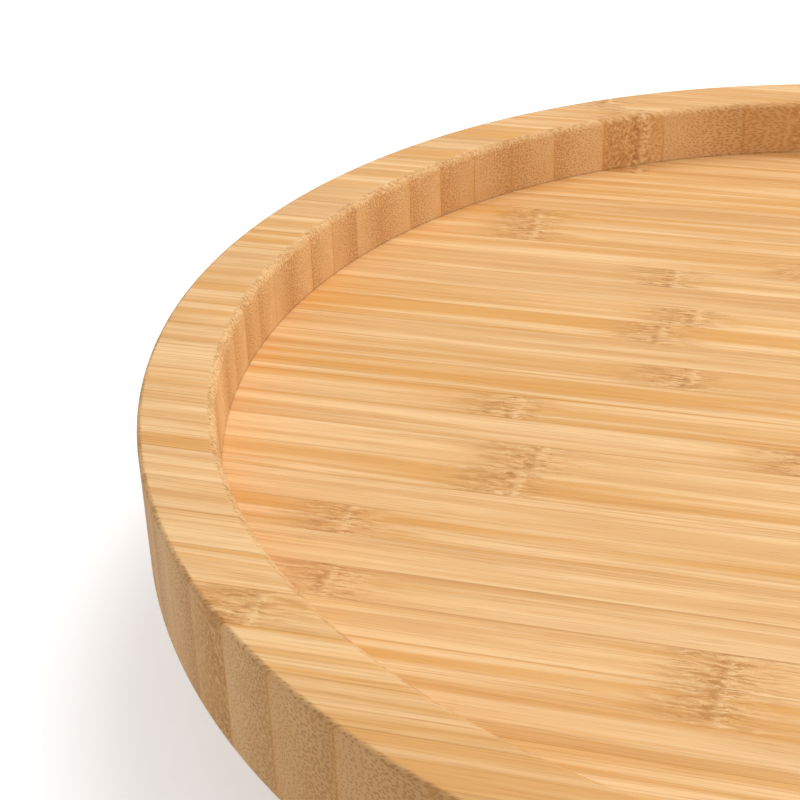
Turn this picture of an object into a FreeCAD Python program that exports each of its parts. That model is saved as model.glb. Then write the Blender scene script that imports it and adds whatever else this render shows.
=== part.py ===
"""Bamboo lazy susan: a round tray with a raised rim that turns on a stamped ball bearing above a round base.

The frame: origin on the table under the turning axis, +Z up, +X along the grain of the tray.
From the table up: rubber feet, base board, lower bearing plate, balls in a cage, upper bearing plate, tray.
All sizes are millimetres and live in the sheet "sizes"; everything else is worked out from them.
"""

import math
import os

import FreeCAD
import Part
import Sketcher

SIZES = {
    # tray, turned from one edge-glued bamboo board
    "tray_diameter": 250.0,
    "board_thickness": 22.0,
    "rim_width": 12.0,
    "recess_depth": 11.5,
    "rim_outer_round": 0.8,
    "rim_inner_round": 1.5,
    "tray_bottom_round": 1.8,
    # base board
    "base_diameter": 180.0,
    "base_thickness": 10.0,
    "base_top_round": 1.5,
    "base_bottom_round": 2.5,
    "access_hole_diameter": 16.0,
    "access_hole_bevel": 0.8,
    # bearing plates, pressed from sheet
    "plate_side": 101.6,
    "plate_corner_round": 9.0,
    "plate_gauge": 1.2,
    "plate_hole_inset": 7.95,
    "screw_hole_clearance": 0.35,
    "race_standoff": 0.25,
    "ridge_width": 1.6,
    "ramp_width": 1.5,
    # balls and cage
    "race_inset": 12.8,
    "race_clearance": 0.05,
    "ball_diameter": 5.0,
    "ball_count": 16.0,
    "cage_thickness": 0.8,
    "cage_play": 0.6,
    "cage_width": 10.0,
    "pocket_clearance": 0.08,
    # centre eyelet that keeps the two plates together
    "collar_inset": 12.8,
    "lip_gap": 1.3,
    "lip_play": 0.3,
    "eyelet_wall": 1.0,
    "eyelet_overlap": 3.0,
    # wood screws, one size throughout
    "screw_length": 9.5,
    "thread_diameter": 3.5,
    "root_diameter": 2.5,
    "thread_pitch": 1.3,
    "tip_length": 1.7,
    "head_diameter": 6.8,
    "head_height": 2.1,
    "head_round": 1.0,
    "drive_width": 1.0,
    "drive_span": 3.8,
    "drive_depth": 1.2,
    "pilot_spare_depth": 0.3,
    # rubber feet with a steel washer in each
    "foot_inset": 16.0,
    "foot_height": 5.0,
    "foot_top_diameter": 18.0,
    "foot_bottom_diameter": 15.6,
    "foot_round": 0.8,
    "foot_web": 1.4,
    "washer_diameter": 9.0,
    "washer_thickness": 0.8,
    "washer_clearance": 0.15,
}

# heights of each stage above the table, and places that several pieces share, as expressions on the sheet
BASE_BOTTOM = "sizes.foot_height"
BASE_TOP = f"({BASE_BOTTOM} + sizes.base_thickness)"
BALL_RADIUS = "sizes.ball_diameter / 2"
GROOVE_RADIUS = f"({BALL_RADIUS} + sizes.race_clearance)"
HALF_STACK = f"({GROOVE_RADIUS} + sizes.plate_gauge + sizes.race_standoff)"
TRAY_BOTTOM = f"({BASE_TOP} + 2 * {HALF_STACK})"
RACE = "(sizes.plate_side / 2 - sizes.race_inset)"
COLLAR = f"({RACE} - sizes.collar_inset)"
HALF_GAP = "(sizes.cage_thickness / 2 + sizes.cage_play)"
GROOVE_HALF = f"sqrt({GROOVE_RADIUS} ^ 2 - {HALF_GAP} ^ 2)"
OUTER_BEND = f"({GROOVE_RADIUS} + sizes.plate_gauge)"
UNDER_HALF = f"sqrt({OUTER_BEND} ^ 2 - ({HALF_GAP} + sizes.plate_gauge) ^ 2)"
RIDGE_HALF = f"({GROOVE_HALF} + sizes.ridge_width)"
RAMP_HALF = f"({RIDGE_HALF} + sizes.ramp_width)"
LIP_RADIUS = f"({COLLAR} + sizes.lip_gap)"
COLLAR_BORE = f"({COLLAR} - sizes.plate_gauge)"
COLLAR_HEIGHT = f"({HALF_STACK} + {HALF_GAP} + sizes.plate_gauge + sizes.lip_play)"
PLATE_SCREW = "(sizes.plate_side / 2 - sizes.plate_hole_inset)"
FOOT_CIRCLE = "(sizes.base_diameter / 2 - sizes.foot_inset)"
FOOT_SCREW = f"({FOOT_CIRCLE} / sqrt(2))"
PILOT_RADIUS = "sizes.thread_diameter / 2"
PLATE_PILOT_DEPTH = "(sizes.screw_length - sizes.plate_gauge + sizes.pilot_spare_depth)"
FOOT_PILOT_DEPTH = "(sizes.screw_length - sizes.foot_web - sizes.washer_thickness + sizes.pilot_spare_depth)"
CORNERS = 4
PLACE_MATCH = 1e-4

doc = FreeCAD.newDocument("lazy_susan")
sheet = doc.addObject("Spreadsheet::Sheet", "sizes")
for row, (alias, size) in enumerate(SIZES.items(), start=1):
    sheet.set(f"A{row}", alias)
    sheet.set(f"B{row}", str(size))
    sheet.setAlias(f"B{row}", alias)
doc.recompute()

parts = []


def size_of(expression):
    """The number that an expression on the sheet gives now."""
    return float(sheet.evalExpression(expression.replace("sizes.", "")))


def place(part, up="0", along_x="0", along_y="0", turn=None):
    """Puts a finished sub-part at its height and place, and adds it to what is exported."""
    if turn is not None:
        part.Placement = FreeCAD.Placement(FreeCAD.Vector(), turn)
    for axis, expression in (("x", along_x), ("y", along_y), ("z", up)):
        part.setExpression(f"Placement.Base.{axis}", expression)
    parts.append(part)
    return part


def new_body(label):
    body = doc.addObject("PartDesign::Body", label)
    body.AllowCompound = True
    return body


def origin_feature(body, role):
    return next(f for f in body.Origin.OriginFeatures if f.Role == role)


def new_sketch(body, name, plane="XZ_Plane", offset="0"):
    """A sketch on one of the body's own planes, moved along the plane's normal by an expression."""
    sketch = body.newObject("Sketcher::SketchObject", name)
    sketch.AttachmentSupport = [(origin_feature(body, plane), "")]
    sketch.MapMode = "FlatFace"
    sketch.setExpression("AttachmentOffset.Base.z", offset)
    return sketch


def pin_point(sketch, geometry, point, x, y):
    """Fixes one end of a line or the centre of a circle at x, y, both expressions."""
    for kind, axis, expression in (("DistanceX", -2, x), ("DistanceY", -1, y)):
        if expression == "0":
            sketch.addConstraint(Sketcher.Constraint("PointOnObject", geometry, point, axis))
            continue
        rule = Sketcher.Constraint(kind, -1, 1, geometry, point, size_of(expression))
        sketch.setExpression(f"Constraints[{sketch.addConstraint(rule)}]", expression)


def arc_between(start, end, radius, inside):
    """The arc of a radius between two points, whose centre lies on the same side of the chord as inside."""
    middle = (start + end) / 2
    chord = end - start
    across = FreeCAD.Vector(-chord.y, chord.x, 0).normalize()
    if across.dot(inside - middle) < 0:
        across = across.negative()
    centre = middle + across * math.sqrt(max(radius**2 - (chord.Length / 2) ** 2, 0.0))
    angles = [math.atan2(p.y - centre.y, p.x - centre.x) for p in (start, end)]
    forward = (angles[1] - angles[0]) % (2 * math.pi) < math.pi
    first, last = angles if forward else angles[::-1]
    circle = Part.Circle(centre, FreeCAD.Vector(0, 0, 1), radius)
    return Part.ArcOfCircle(circle, first, last if last > first else last + 2 * math.pi), forward


def outline(sketch, corners):
    """A closed outline of expressions. Each corner is (x, y), or (x, y, radius, (x, y)) where an arc runs on
    to the next corner, with its centre on the side of the second place."""
    points = [FreeCAD.Vector(size_of(c[0]), size_of(c[1]), 0) for c in corners]
    ends = []
    for number, corner in enumerate(corners):
        start, end = points[number], points[(number + 1) % len(points)]
        if len(corner) == 2:
            geometry = sketch.addGeometry(Part.LineSegment(start, end))
            ends.append((geometry, 1, 2))
            continue
        inside = FreeCAD.Vector(*[size_of(e) for e in corner[3]], 0)
        arc, forward = arc_between(start, end, size_of(corner[2]), inside)
        geometry = sketch.addGeometry(arc)
        ends.append((geometry, 1, 2) if forward else (geometry, 2, 1))
        rule = Sketcher.Constraint("Radius", geometry, size_of(corner[2]))
        sketch.setExpression(f"Constraints[{sketch.addConstraint(rule)}]", corner[2])
    for number, corner in enumerate(corners):
        geometry, first, _ = ends[number]
        before, _, last = ends[number - 1]
        sketch.addConstraint(Sketcher.Constraint("Coincident", before, last, geometry, first))
        pin_point(sketch, geometry, first, corner[0], corner[1])


def round_hole(sketch, x, y, radius):
    centre = FreeCAD.Vector(size_of(x), size_of(y), 0)
    circle = Part.Circle(centre, FreeCAD.Vector(0, 0, 1), size_of(radius))
    geometry = sketch.addGeometry(circle)
    rule = Sketcher.Constraint("Radius", geometry, size_of(radius))
    sketch.setExpression(f"Constraints[{sketch.addConstraint(rule)}]", radius)
    pin_point(sketch, geometry, 3, x, y)


def revolve(body, name, corners, offset="0", axis_x=None):
    """Turns an outline of (distance, height) round the body's Z axis, or round an upright line at axis_x."""
    sketch = new_sketch(body, f"{name}_outline", "XZ_Plane", offset)
    outline(sketch, corners)
    axis = "V_Axis"
    if axis_x is not None:
        ends = [FreeCAD.Vector(size_of(axis_x), size_of(y), 0) for y in ("0", "sizes.screw_length")]
        line = sketch.addGeometry(Part.LineSegment(*ends), True)
        pin_point(sketch, line, 1, axis_x, "0")
        pin_point(sketch, line, 2, axis_x, "sizes.screw_length")
        axis = "Axis0"
    turned = body.newObject("PartDesign::Revolution", name)
    turned.Profile = sketch
    turned.ReferenceAxis = (sketch, [axis])
    turned.Angle = 360
    doc.recompute()
    return turned


def pad(body, name, draw, height, offset="0"):
    """A slab on a plane parallel to XY, grown upwards; draw fills its sketch."""
    sketch = new_sketch(body, f"{name}_outline", "XY_Plane", offset)
    draw(sketch)
    slab = body.newObject("PartDesign::Pad", name)
    slab.Profile = sketch
    slab.setExpression("Length", height)
    doc.recompute()
    return slab


def pocket(body, name, draw, depth, offset="0", upwards=True):
    """A cut from a plane parallel to XY; upwards says which way it goes. It must take something away."""
    before = body.Shape.Volume
    sketch = new_sketch(body, f"{name}_outline", "XY_Plane", offset)
    draw(sketch)
    cut = body.newObject("PartDesign::Pocket", name)
    cut.Profile = sketch
    cut.Reversed = upwards
    cut.setExpression("Length", depth)
    doc.recompute()
    if body.Shape.Volume >= before:
        raise RuntimeError(f"{body.Label}: {name} cuts nothing")
    return cut


def pattern(body, features, count):
    """Repeats features evenly round the body's Z axis."""
    copies = body.newObject("PartDesign::PolarPattern", f"{features[0].Name}_pattern")
    copies.Originals = features
    copies.Axis = (origin_feature(body, "Z_Axis"), [""])
    copies.Angle = 360
    copies.Occurrences = count
    body.Tip = copies
    doc.recompute()
    return copies


def circle_edges(body, radius, height):
    """Names of the round edges about the Z axis at a radius and height, both expressions."""
    names = []
    for number, edge in enumerate(body.Shape.Edges, start=1):
        curve = edge.Curve
        if not isinstance(curve, Part.Circle) or math.hypot(curve.Center.x, curve.Center.y) > PLACE_MATCH:
            continue
        fits = abs(curve.Radius - size_of(radius)) < PLACE_MATCH
        if fits and abs(curve.Center.z - size_of(height)) < PLACE_MATCH:
            names.append(f"Edge{number}")
    return names


def round_over(body, name, edges, radius, kind="Fillet", prop="Radius"):
    """Rounds or bevels the named edges of the body as it stands."""
    base = body.Tip
    dressing = body.newObject(f"PartDesign::{kind}", name)
    dressing.Base = (base, edges)
    dressing.setExpression(prop, radius)
    doc.recompute()
    return dressing


def pilot_holes(body, name, corner, depth, offset="0", upwards=True):
    """Four blind holes for wood screws at the corners of a square."""
    hole = pocket(body, name, lambda s: round_hole(s, corner, corner, PILOT_RADIUS), depth, offset, upwards)
    pattern(body, [hole], CORNERS)


def make_tray():
    """The board with its recess, edges eased, and blind holes in the underside for the bearing's screws."""
    body = new_body("tray")
    edge, thickness = "sizes.tray_diameter / 2", "sizes.board_thickness"
    wall = f"({edge} - sizes.rim_width)"
    floor = f"({thickness} - sizes.recess_depth)"
    corners = [("0", "0"), (edge, "0"), (edge, thickness), (wall, thickness), (wall, floor), ("0", floor)]
    revolve(body, "tray_turned", corners)
    round_over(body, "rim_outer_edge", circle_edges(body, edge, thickness), "sizes.rim_outer_round")
    round_over(body, "rim_inner_edge", circle_edges(body, wall, thickness), "sizes.rim_inner_round")
    round_over(body, "tray_bottom_edge", circle_edges(body, edge, "0"), "sizes.tray_bottom_round")
    pilot_holes(body, "tray_pilot", PLATE_SCREW, PLATE_PILOT_DEPTH)
    return place(body, TRAY_BOTTOM)


def make_base_board():
    """The foot board, with the hole through which the tray's screws are driven on assembly."""
    edge, top = "sizes.base_diameter / 2", "sizes.base_thickness"
    reach = f"({PLATE_SCREW} * sqrt(2))"
    body = new_body("base_board")
    revolve(body, "base_turned", [("0", "0"), (edge, "0"), (edge, top), ("0", top)])
    round_over(body, "base_top_edge", circle_edges(body, edge, top), "sizes.base_top_round")
    round_over(body, "base_bottom_edge", circle_edges(body, edge, "0"), "sizes.base_bottom_round")
    bore = "sizes.access_hole_diameter / 2"
    pocket(body, "access_hole", lambda s: round_hole(s, reach, "0", bore), top)
    rims = [
        f"Edge{number}"
        for number, rim in enumerate(body.Shape.Edges, start=1)
        if isinstance(rim.Curve, Part.Circle) and abs(rim.Curve.Radius - size_of(bore)) < PLACE_MATCH
    ]
    round_over(body, "access_hole_bevels", rims, "sizes.access_hole_bevel", "Chamfer", "Size")
    pilot_holes(body, "plate_pilot", PLATE_SCREW, PLATE_PILOT_DEPTH, top, upwards=False)
    pilot_holes(body, "foot_pilot", FOOT_SCREW, FOOT_PILOT_DEPTH)
    return place(body, BASE_BOTTOM)


def square(sketch):
    half = "sizes.plate_side / 2"
    outline(sketch, [(half, half), (f"-{half}", half), (f"-{half}", f"-{half}"), (half, f"-{half}")])


def plate_blank(body, low):
    """A plate's square flange with rounded corners, open inside the ramp, and its four screw holes."""
    pad(body, f"{body.Label}_flange", square, "sizes.plate_gauge", low)
    uprights = [
        f"Edge{number}"
        for number, edge in enumerate(body.Shape.Edges, start=1)
        if abs(edge.Vertexes[0].Z - edge.Vertexes[-1].Z) > PLACE_MATCH
    ]
    round_over(body, f"{body.Label}_corners", uprights, "sizes.plate_corner_round")
    inner, gauge = across_race(RAMP_HALF), "sizes.plate_gauge"
    pocket(body, f"{body.Label}_opening", lambda s: round_hole(s, "0", "0", inner), gauge, low)
    at, clear = PLATE_SCREW, f"{PILOT_RADIUS} + sizes.screw_hole_clearance"
    hole = pocket(body, f"{body.Label}_hole", lambda s: round_hole(s, at, at, clear), gauge, low)
    pattern(body, [hole], CORNERS)


def across_race(offset):
    return f"{RACE} + {offset}"


def make_lower_plate():
    """The plate on the base: flange, ramp up to the race, ramp down again, and the collar at its centre."""
    body = new_body("lower_bearing_plate")
    plate_blank(body, "0")
    gauge, ridge = "sizes.plate_gauge", f"({HALF_STACK} - {HALF_GAP})"
    under = f"({ridge} - {gauge})"
    centre = (RACE, HALF_STACK)
    band = [
        (across_race(RAMP_HALF), "0"),
        (across_race(RAMP_HALF), gauge),
        (across_race(RIDGE_HALF), ridge),
        (across_race(GROOVE_HALF), ridge, GROOVE_RADIUS, centre),
        (across_race(f"-{GROOVE_HALF}"), ridge),
        (across_race(f"-{RIDGE_HALF}"), ridge),
        (across_race(f"-{RAMP_HALF}"), gauge),
        (COLLAR, gauge),
        (COLLAR, COLLAR_HEIGHT),
        (COLLAR_BORE, COLLAR_HEIGHT),
        (COLLAR_BORE, "0"),
        (across_race(f"-{RAMP_HALF}"), "0"),
        (across_race(f"-{RIDGE_HALF}"), under),
        (across_race(f"-{UNDER_HALF}"), under, OUTER_BEND, centre),
        (across_race(UNDER_HALF), under),
        (across_race(RIDGE_HALF), under),
    ]
    revolve(body, "lower_race", band)
    return place(body, BASE_TOP)


def make_upper_plate():
    """The plate under the tray: flange, ramp down to the race, and a flat lip that runs under the eyelet."""
    body = new_body("upper_bearing_plate")
    stack, gauge = f"2 * {HALF_STACK}", "sizes.plate_gauge"
    flange, ridge = f"({stack} - {gauge})", f"({HALF_STACK} + {HALF_GAP})"
    over = f"({ridge} + {gauge})"
    plate_blank(body, flange)
    centre = (RACE, HALF_STACK)
    band = [
        (across_race(RAMP_HALF), stack),
        (across_race(RIDGE_HALF), over),
        (across_race(UNDER_HALF), over, OUTER_BEND, centre),
        (across_race(f"-{UNDER_HALF}"), over),
        (LIP_RADIUS, over),
        (LIP_RADIUS, ridge),
        (across_race(f"-{GROOVE_HALF}"), ridge, GROOVE_RADIUS, centre),
        (across_race(GROOVE_HALF), ridge),
        (across_race(RIDGE_HALF), ridge),
        (across_race(RAMP_HALF), flange),
    ]
    revolve(body, "upper_race", band)
    return place(body, BASE_TOP)


def make_eyelet():
    """The flanged sleeve pressed into the collar; its flange reaches over the upper plate's lip."""
    body = new_body("bearing_eyelet")
    bore = f"({COLLAR_BORE} - sizes.eyelet_wall)"
    reach = f"({LIP_RADIUS} + sizes.eyelet_overlap)"
    top = f"({COLLAR_HEIGHT} + sizes.eyelet_wall)"
    corners = [
        (bore, "0"),
        (COLLAR_BORE, "0"),
        (COLLAR_BORE, COLLAR_HEIGHT),
        (reach, COLLAR_HEIGHT),
        (reach, top),
        (bore, top),
    ]
    revolve(body, "eyelet_turned", corners)
    return place(body, BASE_TOP)


def make_cage():
    """The flat ring that keeps the balls apart, one pocket for each."""
    body = new_body("ball_cage")

    def ring(sketch):
        for side in ("+", "-"):
            round_hole(sketch, "0", "0", f"{RACE} {side} sizes.cage_width / 2")

    pad(body, "cage_ring", ring, "sizes.cage_thickness")
    radius = f"{BALL_RADIUS} + sizes.pocket_clearance"
    hole = pocket(body, "cage_pocket", lambda s: round_hole(s, RACE, "0", radius), "sizes.cage_thickness")
    pattern(body, [hole], int(SIZES["ball_count"]))
    return place(body, f"{BASE_TOP} + {HALF_STACK} - sizes.cage_thickness / 2")


def make_ball(number):
    """One ball, at its pocket in the cage."""
    ball = doc.addObject("Part::Sphere", f"ball_{number + 1:02d}")
    ball.setExpression("Radius", BALL_RADIUS)
    turn = f"({number} * 360 deg / sizes.ball_count)"
    along_x = f"{RACE} * cos({turn})"
    along_y = f"{RACE} * sin({turn})"
    return place(ball, f"{BASE_TOP} + {HALF_STACK}", along_x, along_y)


def screw_corners(axis_x):
    """Half the outline of a pan-head wood screw, head down, its axis at axis_x and its seat at height 0."""

    def at(radius, height):
        return f"({axis_x} + {radius})", height

    head, root = "sizes.head_diameter / 2", "sizes.root_diameter / 2"
    round_end = f"({head} - sizes.head_round)"
    round_centre = at(round_end, "(sizes.head_round - sizes.head_height)")
    thread_end = "(sizes.screw_length - sizes.tip_length)"
    turns = int(size_of(thread_end) / size_of("sizes.thread_pitch"))
    corners = [
        at("0", "-sizes.head_height"),
        (*at(round_end, "-sizes.head_height"), "sizes.head_round", round_centre),
        at(head, "(sizes.head_round - sizes.head_height)"),
        at(head, "0"),
        at(root, "0"),
    ]
    for turn in range(turns):
        low = f"{thread_end} - {turns - turn} * sizes.thread_pitch"
        corners += [at(root, low), at("sizes.thread_diameter / 2", f"{low} + sizes.thread_pitch / 2")]
    return [*corners, at(root, thread_end), at("0", "sizes.screw_length")]


def cross_recess(sketch, x, y):
    """The plus-shaped socket of the driver, centred on x, y."""
    arm, half = "sizes.drive_span / 2", "sizes.drive_width / 2"
    right_top = [(f"+ {arm}", f"+ {half}"), (f"+ {half}", f"+ {half}"), (f"+ {half}", f"+ {arm}")]
    left_top = [(f"- {half}", f"+ {arm}"), (f"- {half}", f"+ {half}"), (f"- {arm}", f"+ {half}")]
    left_bottom = [(f"- {arm}", f"- {half}"), (f"- {half}", f"- {half}"), (f"- {half}", f"- {arm}")]
    right_bottom = [(f"+ {half}", f"- {arm}"), (f"+ {half}", f"- {half}"), (f"+ {arm}", f"- {half}")]
    steps = [*right_top, *left_top, *left_bottom, *right_bottom]
    outline(sketch, [(f"({x} {step_x})", f"({y} {step_y})") for step_x, step_y in steps])


def make_screws(label, corner, up, head_up=False):
    """Four wood screws on the corners of a square, points up unless head_up."""
    body = new_body(label)
    shank = revolve(body, f"{label}_turned", screw_corners(corner), f"-({corner})", corner)
    socket = {"depth": "sizes.drive_depth", "offset": "-sizes.head_height"}
    drive = pocket(body, f"{label}_drive", lambda s: cross_recess(s, corner, corner), **socket)
    pattern(body, [shank, drive], CORNERS)
    half_turn = FreeCAD.Rotation(FreeCAD.Vector(1, 0, 0), 180) if head_up else None
    return place(body, up, turn=half_turn)


def make_foot(number):
    """One rubber foot: a short cone with a well from below for its washer and screw."""
    body = new_body(f"rubber_foot_{number + 1}")
    hole = f"({PILOT_RADIUS} + sizes.screw_hole_clearance)"
    well = "(sizes.washer_diameter / 2 + sizes.washer_clearance)"
    seat = "(sizes.foot_height - sizes.foot_web)"
    corners = [
        (hole, seat),
        (well, seat),
        (well, "0"),
        ("sizes.foot_bottom_diameter / 2", "0"),
        ("sizes.foot_top_diameter / 2", "sizes.foot_height"),
        (hole, "sizes.foot_height"),
    ]
    revolve(body, f"foot_{number + 1}_moulded", corners)
    lower_edge = circle_edges(body, "sizes.foot_bottom_diameter / 2", "0")
    round_over(body, f"foot_{number + 1}_edge", lower_edge, "sizes.foot_round")
    turn = f"({number * 2 + 1} * 45 deg)"
    along_x = f"{FOOT_CIRCLE} * cos({turn})"
    along_y = f"{FOOT_CIRCLE} * sin({turn})"
    return place(body, "0", along_x, along_y)


def make_foot_washers():
    """A steel washer in each foot's well, under the screw's head."""
    body = new_body("foot_washers")

    def ring(sketch):
        round_hole(sketch, FOOT_SCREW, FOOT_SCREW, "sizes.washer_diameter / 2")
        round_hole(sketch, FOOT_SCREW, FOOT_SCREW, f"{PILOT_RADIUS} + sizes.washer_clearance")

    washer = pad(body, "washer", ring, "sizes.washer_thickness")
    pattern(body, [washer], CORNERS)
    return place(body, "sizes.foot_height - sizes.foot_web - sizes.washer_thickness")


def check_parts():
    """Stops the build if any object failed or any sub-part is not closed and valid."""
    doc.recompute()
    for item in doc.Objects:
        if "Invalid" in item.State or "Error" in item.State:
            raise RuntimeError(f"{item.Label} failed: {item.State}")
    for part in parts:
        if part.Shape.isNull() or not part.Shape.isValid() or not part.Shape.Solids:
            raise RuntimeError(f"{part.Label} has no valid solid")


make_tray()
make_base_board()
make_lower_plate()
make_upper_plate()
make_eyelet()
make_cage()
for index in range(int(SIZES["ball_count"])):
    make_ball(index)
make_screws("upper_plate_screws", PLATE_SCREW, f"{TRAY_BOTTOM} - sizes.plate_gauge")
make_screws("lower_plate_screws", PLATE_SCREW, f"{BASE_TOP} + sizes.plate_gauge", head_up=True)
for index in range(CORNERS):
    make_foot(index)
make_foot_washers()
make_screws("foot_screws", FOOT_SCREW, "sizes.foot_height - sizes.foot_web - sizes.washer_thickness")

check_parts()
os.makedirs("parts", exist_ok=True)
for part in parts:
    part.Shape.exportStep(f"parts/{part.Label}.step")
    box = part.Shape.BoundBox
    print(
        f"{part.Label}: {len(part.Shape.Solids)} solid(s), {part.Shape.Volume:.1f} mm3, "
        f"z {box.ZMin:.2f} to {box.ZMax:.2f}, {box.XLength:.2f} x {box.YLength:.2f}"
    )
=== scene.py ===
"""Looks of the bamboo lazy susan: finished bamboo boards, pressed steel bearing, screws and rubber feet.

Everything is in metres in the row's frame: origin on the table under the turning axis, +Z up, grain along +X.
Inside the materials, lengths are millimetres.
"""

import math

import bmesh
import bpy
from mathutils import Matrix, Vector


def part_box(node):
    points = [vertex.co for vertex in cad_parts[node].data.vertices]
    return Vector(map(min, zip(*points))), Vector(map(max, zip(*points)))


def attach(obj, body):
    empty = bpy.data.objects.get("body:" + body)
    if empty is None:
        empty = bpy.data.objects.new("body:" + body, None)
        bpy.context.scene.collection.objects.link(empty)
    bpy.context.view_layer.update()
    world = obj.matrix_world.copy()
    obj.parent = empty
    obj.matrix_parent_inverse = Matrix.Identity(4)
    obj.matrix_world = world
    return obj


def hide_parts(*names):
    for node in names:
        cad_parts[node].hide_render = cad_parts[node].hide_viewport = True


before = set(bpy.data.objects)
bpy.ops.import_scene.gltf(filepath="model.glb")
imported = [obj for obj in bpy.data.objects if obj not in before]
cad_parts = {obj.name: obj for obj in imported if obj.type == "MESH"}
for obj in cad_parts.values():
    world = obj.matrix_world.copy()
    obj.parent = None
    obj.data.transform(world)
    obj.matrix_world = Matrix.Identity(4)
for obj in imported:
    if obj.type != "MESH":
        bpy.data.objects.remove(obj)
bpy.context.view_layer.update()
bpy.context.scene.view_settings.view_transform = "Standard"

MM = 0.001

# tray, as in the CAD model
RIM_WIDTH = 12.0 * MM
RECESS_DEPTH = 11.5 * MM
RIM_OUTER_ROUND = 0.8 * MM
RIM_INNER_ROUND = 1.5 * MM
BOTTOM_ROUND = 1.8 * MM
PILOT_RADIUS = 1.75 * MM
PILOT_DEPTH = 8.6 * MM
PLATE_SCREW = 42.85 * MM
TURNS = 720
ROUND_STEPS = 8

# bamboo strips, in mm: how many the tray's width holds; the two loose rows that their knuckles keep to, as places
# along the grain; how far a knuckle strays from its row; the share of strips in the first row; how pale strips are
STRIPS_ACROSS = 33
STRIP = (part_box("tray")[1].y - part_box("tray")[0].y) / MM / STRIPS_ACROSS
KNUCKLE_ROWS = (-50.0, 60.0)
KNUCKLE_STRAY = 35.0
FIRST_ROW_SHARE = 0.72
STRIP_PALENESS = (0.10, 0.92)

# the base is cut from another part of the same kind of board: where, in mm
BASE_CUT_FROM = (37.0, 3.1, 150.0)

# depth of the surface relief in each material, and the radius in mm of the track that the balls polish
BAMBOO_RELIEF = 0.05 * MM
STEEL_RELIEF = 0.012 * MM
RUBBER_RELIEF = 0.03 * MM
RACE_RADIUS = 38.0
BALLS = 16
FEET = 4

# how bright the white tent is as a light, how much the table is lifted to white where it is looked at, the distances
# in mm between which that lift grows to full white, and half the table's side in metres
TENT_LIGHT = 0.50
TABLE_LIFT = 0.42
TABLE_FADE = (300.0, 1500.0)
TABLE_REACH = 4.0

# the photograph's view: angles in degrees, lens in millimetres, place in tray radii from the middle of the rim's top
CAMERA_AZIMUTH = -16.3
CAMERA_ELEVATION = 30.2
CAMERA_ROLL = -1.9
CAMERA_LENS = 76.4
CAMERA_PLACE = (-0.12, -1.99, 1.05)


class Socket:
    """A value inside a material's node tree, with arithmetic."""

    def __init__(self, tree, socket):
        self.tree = tree
        self.socket = socket

    def math(self, operation, *others, clamp=False):
        node = self.tree.nodes.new("ShaderNodeMath")
        node.operation = operation
        node.use_clamp = clamp
        for slot, value in zip(node.inputs, (self, *others)):
            connect(self.tree, slot, value)
        return Socket(self.tree, node.outputs[0])

    def __add__(self, other):
        return self.math("ADD", other)

    def __sub__(self, other):
        return self.math("SUBTRACT", other)

    def __mul__(self, other):
        return self.math("MULTIPLY", other)

    def __truediv__(self, other):
        return self.math("DIVIDE", other)

    def ramp(self, low, high, to_low=0.0, to_high=1.0):
        """Runs smoothly from to_low, where this is low, to to_high, where this is high."""
        node = self.tree.nodes.new("ShaderNodeMapRange")
        node.interpolation_type = "SMOOTHSTEP"
        for name, value in (("From Min", low), ("From Max", high), ("To Min", to_low), ("To Max", to_high)):
            connect(self.tree, node.inputs[name], value)
        connect(self.tree, node.inputs["Value"], self)
        return Socket(self.tree, node.outputs["Result"])


def connect(tree, slot, value):
    """Links a Socket to an input, or sets the input to a plain value."""
    if isinstance(value, Socket):
        tree.links.new(value.socket, slot)
    else:
        slot.default_value = value


def new_material(name):
    """An empty material with its shader; returns both and the tree."""
    material = bpy.data.materials.new(name)
    material.use_nodes = True
    tree = material.node_tree
    return material, tree, tree.nodes["Principled BSDF"]


def position(tree, shift=(0.0, 0.0, 0.0)):
    """X, Y and Z in millimetres, moved by shift."""
    source = tree.nodes.new("ShaderNodeTexCoord")
    scale = tree.nodes.new("ShaderNodeVectorMath")
    scale.operation = "MULTIPLY_ADD"
    scale.inputs[1].default_value = (1 / MM,) * 3
    scale.inputs[2].default_value = shift
    tree.links.new(source.outputs["Object"], scale.inputs[0])
    split = tree.nodes.new("ShaderNodeSeparateXYZ")
    tree.links.new(scale.outputs[0], split.inputs[0])
    return [Socket(tree, out) for out in split.outputs]


def facing_along(tree):
    """How squarely the surface faces along the grain, from 0 to 1."""
    source = tree.nodes.new("ShaderNodeTexCoord")
    split = tree.nodes.new("ShaderNodeSeparateXYZ")
    tree.links.new(source.outputs["Normal"], split.inputs[0])
    return Socket(tree, split.outputs["X"]).math("ABSOLUTE")


def vector(tree, x, y, z=0.0):
    """One vector from its parts."""
    node = tree.nodes.new("ShaderNodeCombineXYZ")
    for slot, value in zip(node.inputs, (x, y, z)):
        connect(tree, slot, value)
    return Socket(tree, node.outputs[0])


def noise(tree, place, detail=2.0, roughness=0.5, distortion=0.0):
    """Smooth noise, about 0.5, with features about 1 wide in place's units."""
    node = tree.nodes.new("ShaderNodeTexNoise")
    connect(tree, node.inputs["Vector"], place)
    node.inputs["Scale"].default_value = 1.0
    node.inputs["Detail"].default_value = detail
    node.inputs["Roughness"].default_value = roughness
    node.inputs["Distortion"].default_value = distortion
    return Socket(tree, node.outputs[0])


def chance(tree, number, seed):
    """A fixed random value from 0 to 1 for each whole number."""
    node = tree.nodes.new("ShaderNodeTexWhiteNoise")
    node.noise_dimensions = "1D"
    connect(tree, node.inputs["W"], number + seed)
    return Socket(tree, node.outputs["Value"])


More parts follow.
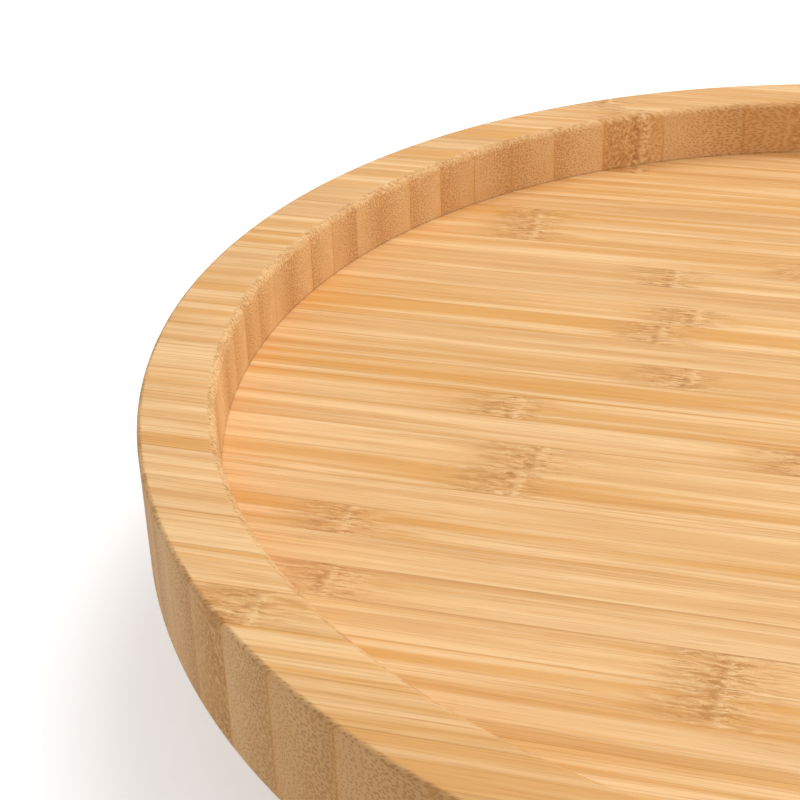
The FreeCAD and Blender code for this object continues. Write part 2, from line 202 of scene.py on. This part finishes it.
def cells(tree, place, jitter):
    """Distance to the nearest of a set of scattered points in the plane of place's X and Y."""
    node = tree.nodes.new("ShaderNodeTexVoronoi")
    node.voronoi_dimensions = "2D"
    connect(tree, node.inputs["Vector"], place)
    node.inputs["Scale"].default_value = 1.0
    node.inputs["Randomness"].default_value = jitter
    return Socket(tree, node.outputs["Distance"])


def blend(tree, amount, first, second):
    """Colour first, turning into second as amount goes from 0 to 1."""
    node = tree.nodes.new("ShaderNodeMix")
    node.data_type = "RGBA"
    connect(tree, node.inputs["Factor"], amount)
    for slot, value in ((node.inputs[6], first), (node.inputs[7], second)):
        connect(tree, slot, value if isinstance(value, Socket) else (*value, 1.0))
    return Socket(tree, node.outputs[2])


def bump(tree, height, depth):
    """A normal from a height field; depth is in metres for a height of 1."""
    node = tree.nodes.new("ShaderNodeBump")
    node.inputs["Strength"].default_value = 1.0
    node.inputs["Distance"].default_value = depth
    connect(tree, node.inputs["Height"], height)
    return Socket(tree, node.outputs["Normal"])


def strip_nature(tree, strip):
    """Where a strip's knuckle lies along the grain, and how pale the strip is, by a fixed throw for each strip."""
    first_row, second_row = KNUCKLE_ROWS
    in_second = chance(tree, strip, 5.1).math("GREATER_THAN", FIRST_ROW_SHARE)
    stray = (chance(tree, strip, 27.4) - 0.5) * (2 * KNUCKLE_STRAY)
    knuckle = in_second * (second_row - first_row) + stray + first_row
    darkest, palest = STRIP_PALENESS
    pale = chance(tree, strip, 63.8) * (palest - darkest) + darkest
    return knuckle, pale


PALE = (0.87, 0.562, 0.272)
TAN = (0.68, 0.372, 0.146)
ORANGE = (0.71, 0.340, 0.075)
BROWN = (0.42, 0.165, 0.040)
# the darkest colour is painted shade, used only in the corner where a recess's wall meets its floor
PAINTED_SHADE_DARK = (0.15, 0.065, 0.025)
SCAR_TAN = (0.52, 0.245, 0.075)
END_TAN = (0.64, 0.360, 0.143)


def recess_edge(tree, place, edge_radius, floor, colour, height):
    """Torn fibre ends along the edge of a recess, where the cutter met end grain, and a painted shade line in the
    corner at its floor.
    """
    x, y, z = place
    radius = (x * x + y * y).math("SQRT")
    on_edge = radius.ramp(edge_radius + 2.0, edge_radius + 0.8) * radius.ramp(edge_radius - 0.4, edge_radius)
    at_end = (x / radius).math("ABSOLUTE").ramp(0.35, 0.95) * z.ramp(floor + 7.0, floor + 10.0)
    torn = noise(tree, vector(tree, x * 1.1, y * 3.6, z * 2.0), 2.0, 0.7)
    frayed = on_edge * at_end
    colour = blend(tree, frayed * torn.ramp(0.5, 0.64, 0.0, 0.8), colour, PALE)
    colour = blend(tree, frayed * torn.ramp(0.46, 0.34, 0.0, 0.4), colour, BROWN)
    height = height + (torn - 0.5) * frayed * 2.5
    # painted shade: a thin dark line darkens the corner where the recess wall meets its floor
    painted_corner_shade = (radius - edge_radius).math("ABSOLUTE").ramp(0.26, 0.12)
    painted_corner_shade = painted_corner_shade * (z - floor).math("ABSOLUTE").ramp(0.32, 0.16)
    return blend(tree, painted_corner_shade * 0.25, colour, PAINTED_SHADE_DARK), height


def bamboo(name, shift=(0.0, 0.0, 0.0), edge_radius=None, floor=None):
    """Edge-glued bamboo as a solid: fibre bundles run along X through every strip, so that cuts along the grain show
    streaks and cuts across it show dots. edge_radius and floor say where a recess has its wall and floor."""
    material, tree, shader = new_material(name)
    x, y, z = position(tree, shift)
    along_x = facing_along(tree)
    strip = (y / STRIP).math("FLOOR")
    across = (y / STRIP).math("FRACT")
    knuckle, pale = strip_nature(tree, strip)
    luck = chance(tree, strip, 3.7)
    other_luck = chance(tree, strip, 19.3)

    # which side of the strip was the outside of the culm, where the fibre bundles stand close together
    flipped = luck.math("GREATER_THAN", 0.45)
    outer = (across - flipped).math("ABSOLUTE")

    # end grain shows wherever the surface faces along the fibres
    end = along_x.ramp(0.03, 0.30)
    long_side = end * -1.0 + 1.0

    # the knuckle: fibres swing out and back within a few millimetres of it
    from_knuckle = x - knuckle
    near = (from_knuckle * from_knuckle * -0.022).math("EXPONENT")
    swing = noise(tree, vector(tree, x * 0.34, y * 0.7, z * 0.5 + luck * 40), 3.0, 0.6) - 0.5
    drift = noise(tree, vector(tree, x * 0.011, y * 0.12 + luck * 60, z * 0.12), 2.0) - 0.5
    sideways = drift * 3.0 + swing * near * (long_side * 1.7 + 0.5)
    flow_y = y + sideways
    flow_z = z + sideways * 0.8 + strip * 13.7

    # fibre bundles
    size = outer.ramp(0.0, 1.0, 0.22, 0.46)
    bundle = cells(tree, vector(tree, flow_y * 2.3, flow_z * 1.95), 0.85)
    dots = bundle.ramp(size * 0.5, size, 1.0, 0.0)

    # streaks along the grain, from broad to hair-fine
    broad = noise(tree, vector(tree, x * 0.010, flow_y * 0.40 + other_luck * 90, flow_z * 0.3), 1.0, 0.45)
    streak = noise(tree, vector(tree, x * 0.030, flow_y * 1.6, flow_z * 1.1), 3.0, 0.65)
    hair = noise(tree, vector(tree, x * 0.09, flow_y * 6.0, flow_z * 5.0), 2.0, 0.6)
    line = noise(tree, vector(tree, x * 0.017, flow_y * 2.4 + 31.0, flow_z * 1.5), 2.0, 0.5).ramp(0.57, 0.70)

    tone = pale * 0.75 + (broad - 0.5) * (long_side * 1.6 + 0.6) + (streak - 0.5) * 1.1 * long_side + 0.16
    colour = blend(tree, tone.math("MULTIPLY", 1.0, clamp=True), TAN, PALE)
    warm = broad.ramp(0.62, 0.40) * luck.ramp(0.3, 1.0, 0.15, 0.75)
    colour = blend(tree, warm * (long_side * 0.7 + 0.3), colour, ORANGE)
    colour = blend(tree, line * long_side * outer.ramp(0.1, 0.9, 0.25, 0.60), colour, ORANGE)
    colour = blend(tree, (hair.ramp(0.56, 0.78) * 0.55 + dots * 0.22) * long_side, colour, BROWN)

    # end grain: deeper colour, darkest where the bundles crowd
    colour = blend(tree, end * (outer * 0.30 + other_luck * 0.25 + 0.25), colour, END_TAN)
    colour = blend(tree, end * outer.ramp(0.3, 1.0, 0.0, 0.16), colour, BROWN)
    colour = blend(tree, dots * end * 0.50, colour, BROWN)

    # knuckle marks: a warm patch that tapers off along the grain, wavy dashes and a broken scar across the strip
    rough = noise(tree, vector(tree, x * 0.20, flow_y * 2.4, flow_z * 1.2), 2.0, 0.6)
    patch = (from_knuckle * from_knuckle * -0.006).math("EXPONENT") * (across - 0.5).math("ABSOLUTE").ramp(0.5, 0.1)
    colour = blend(tree, patch * rough.ramp(0.40, 0.60, 0.10, 0.55), colour, ORANGE)
    colour = blend(tree, near * rough.ramp(0.36, 0.60, 0.15, 0.60), colour, TAN)
    colour = blend(tree, near * rough.ramp(0.50, 0.64, 0.0, 0.68), colour, BROWN)
    colour = blend(tree, near * rough.ramp(0.46, 0.36, 0.0, 0.60), colour, PALE)
    scar_at = from_knuckle + (rough - 0.5) * 4.0 + (other_luck - 0.5) * 3.0
    scar = (scar_at * scar_at * -1.6).math("EXPONENT")
    scar = scar * noise(tree, vector(tree, x * 0.3, y * 0.8, z * 0.8 + strip * 5), 2.0).ramp(0.46, 0.60)
    colour = blend(tree, scar * (end * 0.2 + 0.66), colour, BROWN)
    # the fibres darken on one side of the scar and rise to a pale crest on the other
    before_scar = from_knuckle + 3.5
    shaded = (before_scar * before_scar * -0.05).math("EXPONENT") * rough.ramp(0.35, 0.62, 0.25, 0.85)
    colour = blend(tree, shaded * 0.50, colour, SCAR_TAN)
    past_scar = scar_at - 1.3
    crest = (past_scar * past_scar * -1.8).math("EXPONENT")
    colour = blend(tree, crest * rough.ramp(0.62, 0.42, 0.15, 0.65), colour, PALE)

    # glue lines between strips, here and there almost lost
    to_seam = (across - 0.5).math("ABSOLUTE") * -STRIP + STRIP / 2
    faint = noise(tree, vector(tree, x * 0.02, strip * 3.3, z * 0.1), 1.0).ramp(0.35, 0.62, 0.25, 1.0)
    seam = to_seam.ramp(0.05, 0.17, 1.0, 0.0) * faint
    soft_seam = to_seam.ramp(0.0, 0.9, 1.0, 0.0) * flipped
    colour = blend(tree, seam * (end * -0.12 + 0.5), colour, BROWN)
    colour = blend(tree, soft_seam * 0.25, colour, ORANGE)

    height = (hair - 0.5) * 0.3 + (streak - 0.5) * 0.35 - seam * 0.8 - scar * 0.8 - dots * end * 1.1
    height = height + (rough - 0.5) * near * 2.2

    if edge_radius is not None:
        colour, height = recess_edge(tree, (x, y, z), edge_radius, floor, colour, height)

    connect(tree, shader.inputs["Base Color"], colour)
    sheen = (streak - 0.5) * 0.22 + dots * 0.08 + end * 0.14 + near * 0.08 + 0.47
    connect(tree, shader.inputs["Roughness"], sheen)
    shader.inputs["IOR"].default_value = 1.45
    shader.inputs["Specular IOR Level"].default_value = 0.24
    connect(tree, shader.inputs["Normal"], bump(tree, height, BAMBOO_RELIEF))
    return material


def steel(name, colour, tint, rough, worn_radius=None, grain=1.0):
    """Plated or bare steel: cloudy tint, fine scratches and, on a race, a polished track at worn_radius."""
    material, tree, shader = new_material(name)
    x, y, z = position(tree)
    cloud = noise(tree, vector(tree, x * 0.12, y * 0.12, z * 0.2), 4.0, 0.6)
    speck = noise(tree, vector(tree, x * 2.1 * grain, y * 2.1 * grain, z * 2.1), 3.0, 0.7)
    scratch = noise(tree, vector(tree, x * 0.35, y * 6.0, z * 3.0), 2.0, 0.6, 0.8).ramp(0.60, 0.74)
    shade = blend(tree, cloud.ramp(0.35, 0.68), colour, tint)
    shade = blend(tree, speck.ramp(0.62, 0.8, 0.0, 0.45), shade, tuple(c * 0.45 for c in colour))
    finish = cloud * 0.24 + speck * 0.16 + scratch * 0.1 + (rough - 0.2)
    if worn_radius is not None:
        radius = (x * x + y * y).math("SQRT")
        track = (radius - worn_radius).math("ABSOLUTE").ramp(0.7, 1.5, 1.0, 0.0)
        finish = finish - track * 0.14
        shade = blend(tree, track * 0.5, shade, tuple(min(1.0, c * 1.25) for c in colour))
    connect(tree, shader.inputs["Base Color"], shade)
    connect(tree, shader.inputs["Roughness"], finish.math("MAXIMUM", 0.06))
    shader.inputs["Metallic"].default_value = 1.0
    connect(tree, shader.inputs["Normal"], bump(tree, speck + scratch * -0.6, STEEL_RELIEF))
    return material


def rubber(name):
    """Moulded black rubber: fine orange peel, dull and shiny patches, dust in the low spots."""
    material, tree, shader = new_material(name)
    x, y, z = position(tree)
    peel = noise(tree, vector(tree, x * 3.2, y * 3.2, z * 3.2), 3.0, 0.6)
    patch = noise(tree, vector(tree, x * 0.25, y * 0.25, z * 0.4), 3.0)
    dust = noise(tree, vector(tree, x * 1.1, y * 1.1, z * 0.8), 4.0, 0.75).ramp(0.56, 0.78, 0.0, 0.35)
    shade = blend(tree, patch.ramp(0.35, 0.65), (0.020, 0.020, 0.021), (0.038, 0.037, 0.036))
    shade = blend(tree, dust, shade, (0.13, 0.12, 0.105))
    connect(tree, shader.inputs["Base Color"], shade)
    connect(tree, shader.inputs["Roughness"], patch * 0.25 + peel * 0.15 + dust * 0.3 + 0.45)
    connect(tree, shader.inputs["Normal"], bump(tree, peel, RUBBER_RELIEF))
    return material


def arc(centre_r, centre_z, radius, start, end):
    """Points of a quarter round in the profile, from one angle to another in degrees."""
    for step in range(ROUND_STEPS + 1):
        angle = math.radians(start + (end - start) * step / ROUND_STEPS)
        yield centre_r + radius * math.cos(angle), centre_z + radius * math.sin(angle)


def lathe(name, profile):
    """A closed mesh turned round Z from (radius, height) points that start and end on the axis."""
    mesh = bmesh.new()
    rings = []
    for radius, height in profile:
        if radius == 0:
            rings.append([mesh.verts.new((0, 0, height))])
            continue
        angles = (2 * math.pi * step / TURNS for step in range(TURNS))
        rings.append([mesh.verts.new((radius * math.cos(a), radius * math.sin(a), height)) for a in angles])
    for low, high in zip(rings, rings[1:]):
        for step in range(TURNS):
            after = (step + 1) % TURNS
            corners = [low[step % len(low)], low[after % len(low)], high[after % len(high)], high[step % len(high)]]
            mesh.faces.new(list(dict.fromkeys(corners)))
    bmesh.ops.recalc_face_normals(mesh, faces=mesh.faces)
    data = bpy.data.meshes.new(name)
    mesh.to_mesh(data)
    mesh.free()
    data.shade_smooth()
    data.set_sharp_from_angle(angle=math.radians(40))
    piece = bpy.data.objects.new(name, data)
    bpy.context.scene.collection.objects.link(piece)
    return piece


def bore(piece, places, radius, low, high):
    """Cuts upright round holes through or into a piece."""
    mesh = bmesh.new()
    for x, y in places:
        at = Matrix.Translation((x, y, (low + high) / 2))
        bmesh.ops.create_cone(
            mesh, cap_ends=True, segments=48, radius1=radius, radius2=radius, depth=high - low, matrix=at
        )
    data = bpy.data.meshes.new("bore")
    mesh.to_mesh(data)
    mesh.free()
    cutter = bpy.data.objects.new("bore", data)
    bpy.context.scene.collection.objects.link(cutter)
    cut = piece.modifiers.new("bore", "BOOLEAN")
    cut.operation = "DIFFERENCE"
    cut.solver = "EXACT"
    cut.object = cutter
    depsgraph = bpy.context.evaluated_depsgraph_get()
    finished = bpy.data.meshes.new_from_object(piece.evaluated_get(depsgraph))
    piece.modifiers.clear()
    piece.data = finished
    bpy.data.objects.remove(cutter)


def build_tray():
    low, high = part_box("tray")
    edge, bottom, top = high.x, low.z, high.z
    wall, floor = edge - RIM_WIDTH, top - RECESS_DEPTH
    profile = [
        (0, bottom),
        *arc(edge - BOTTOM_ROUND, bottom + BOTTOM_ROUND, BOTTOM_ROUND, -90, 0),
        *arc(edge - RIM_OUTER_ROUND, top - RIM_OUTER_ROUND, RIM_OUTER_ROUND, 0, 90),
        *arc(wall + RIM_INNER_ROUND, top - RIM_INNER_ROUND, RIM_INNER_ROUND, 90, 180),
        (wall, floor),
        (0, floor),
    ]
    tray = lathe("bamboo_tray", profile)
    corners = [(a * PLATE_SCREW, b * PLATE_SCREW) for a in (-1, 1) for b in (-1, 1)]
    bore(tray, corners, PILOT_RADIUS, bottom - MM, bottom + PILOT_DEPTH)
    tray.data.materials.clear()
    tray.data.materials.append(bamboo("tray_bamboo_grain", edge_radius=wall / MM, floor=floor / MM))
    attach(tray, "turntable")
    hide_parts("tray")


def dress(node, material):
    """Gives a CAD piece its material, whatever slots it has."""
    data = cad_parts[node].data
    data.materials.clear()
    data.materials.append(material)


def seen_directly(tree):
    """1 for what the camera sees, itself or in a mirror or glass, and 0 for what lights the object."""
    path = tree.nodes.new("ShaderNodeLightPath")
    rays = [Socket(tree, path.outputs[f"Is {kind} Ray"]) for kind in ("Camera", "Glossy", "Transmission")]
    return rays[0].math("MAXIMUM", rays[1]).math("MAXIMUM", rays[2])


def build_stage():
    """A pale seamless table under the object."""
    data = bpy.data.meshes.new("table")
    corners = [(a * TABLE_REACH, b * TABLE_REACH, 0) for a, b in ((-1, -1), (1, -1), (1, 1), (-1, 1))]
    data.from_pydata(corners, [], [(0, 1, 2, 3)])
    table = bpy.data.objects.new("table", data)
    bpy.context.scene.collection.objects.link(table)
    material, tree, shader = new_material("table_white")
    shader.inputs["Base Color"].default_value = (0.92, 0.92, 0.92, 1.0)
    shader.inputs["Roughness"].default_value = 0.9
    shader.inputs["Specular IOR Level"].default_value = 0.1
    shader.inputs["Emission Color"].default_value = (1.0, 1.0, 1.0, 1.0)
    x, y, _ = position(tree)
    away = (x * x + y * y).math("SQRT").ramp(*TABLE_FADE, TABLE_LIFT, 1.0)
    connect(tree, shader.inputs["Emission Strength"], seen_directly(tree) * away)
    # seen from below the table is clear, so that the underside of the object shows
    facing = tree.nodes.new("ShaderNodeNewGeometry")
    clear = tree.nodes.new("ShaderNodeBsdfTransparent")
    choice = tree.nodes.new("ShaderNodeMixShader")
    tree.links.new(facing.outputs["Backfacing"], choice.inputs[0])
    tree.links.new(shader.outputs[0], choice.inputs[1])
    tree.links.new(clear.outputs[0], choice.inputs[2])
    tree.links.new(choice.outputs[0], tree.nodes["Material Output"].inputs["Surface"])
    data.materials.append(material)


def softbox(name, place, aim, size, power):
    data = bpy.data.lights.new(name, "AREA")
    data.shape = "DISK"
    data.size = size
    data.energy = power
    lamp = bpy.data.objects.new(name, data)
    lamp.location = place
    lamp.rotation_euler = (Vector(aim) - Vector(place)).to_track_quat("-Z", "Y").to_euler()
    bpy.context.scene.collection.objects.link(lamp)


def build_lights():
    """A white tent: even light from all round, a large lamp overhead and a weaker one from the right."""
    world = bpy.data.worlds.new("tent")
    world.use_nodes = True
    tree = world.node_tree
    tree.nodes.clear()
    backdrop = tree.nodes.new("ShaderNodeBackground")
    connect(tree, backdrop.inputs["Color"], (1.0, 1.0, 1.0, 1.0))
    connect(tree, backdrop.inputs["Strength"], seen_directly(tree).ramp(0.0, 1.0, TENT_LIGHT, 1.0))
    out = tree.nodes.new("ShaderNodeOutputWorld")
    tree.links.new(backdrop.outputs[0], out.inputs["Surface"])
    bpy.context.scene.world = world
    softbox("overhead", (0.25, 0.45, 1.1), (0, 0, 0.03), 0.9, 8.5)
    softbox("side", (0.9, -0.2, 0.5), (0, 0, 0.03), 0.6, 4.0)


def build_camera():
    """Close in on the left part of the tray, looking down at 30 degrees across the grain. The place is in tray radii
    from the middle of the rim's top."""
    low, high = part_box("tray")
    middle = Vector(((low.x + high.x) / 2, (low.y + high.y) / 2, high.z))
    place = middle + Vector(CAMERA_PLACE) * (high.x - low.x) / 2
    azimuth, elevation, roll = (math.radians(a) for a in (CAMERA_AZIMUTH, CAMERA_ELEVATION, CAMERA_ROLL))
    ahead = Vector(
        (math.sin(azimuth) * math.cos(elevation), math.cos(azimuth) * math.cos(elevation), -math.sin(elevation))
    )
    level = Vector((math.cos(azimuth), -math.sin(azimuth), 0))
    upright = level.cross(ahead)
    right = level * math.cos(roll) + upright * math.sin(roll)
    up = upright * math.cos(roll) - level * math.sin(roll)
    camera = bpy.data.objects.new("camera", bpy.data.cameras.new("camera"))
    camera.data.lens = CAMERA_LENS
    camera.data.sensor_width = 36.0
    camera.data.clip_start = 0.01
    turn = Matrix((right, up, -ahead)).transposed().to_4x4()
    camera.matrix_world = Matrix.Translation(place) @ turn
    bpy.context.scene.collection.objects.link(camera)
    bpy.context.scene.camera = camera


def dress_cad_pieces():
    """Materials for the pieces that keep their CAD mesh."""
    zinc_plate = steel("zinc_plate", (0.52, 0.53, 0.54), (0.40, 0.42, 0.45), 0.34, worn_radius=RACE_RADIUS)
    dress("base_board", bamboo("base_bamboo_grain", shift=BASE_CUT_FROM))
    dress("lower_bearing_plate", zinc_plate)
    dress("upper_bearing_plate", zinc_plate)
    dress("bearing_eyelet", steel("zinc_eyelet", (0.55, 0.55, 0.54), (0.44, 0.45, 0.46), 0.30))
    dress("ball_cage", steel("oiled_steel", (0.36, 0.35, 0.34), (0.24, 0.235, 0.23), 0.38))
    polished_steel = steel("polished_steel", (0.66, 0.66, 0.66), (0.60, 0.60, 0.61), 0.14, grain=0.6)
    for number in range(1, BALLS + 1):
        dress(f"ball_{number:02d}", polished_steel)
    yellow_zinc = steel("yellow_zinc", (0.66, 0.54, 0.30), (0.58, 0.50, 0.40), 0.30)
    for node in ("upper_plate_screws", "lower_plate_screws", "foot_screws"):
        dress(node, yellow_zinc)
    dress("foot_washers", steel("zinc_washer", (0.60, 0.60, 0.61), (0.48, 0.49, 0.50), 0.28))
    black_rubber = rubber("black_rubber")
    for number in range(1, FEET + 1):
        dress(f"rubber_foot_{number}", black_rubber)


build_camera()
build_lights()
build_stage()
build_tray()
dress_cad_pieces()
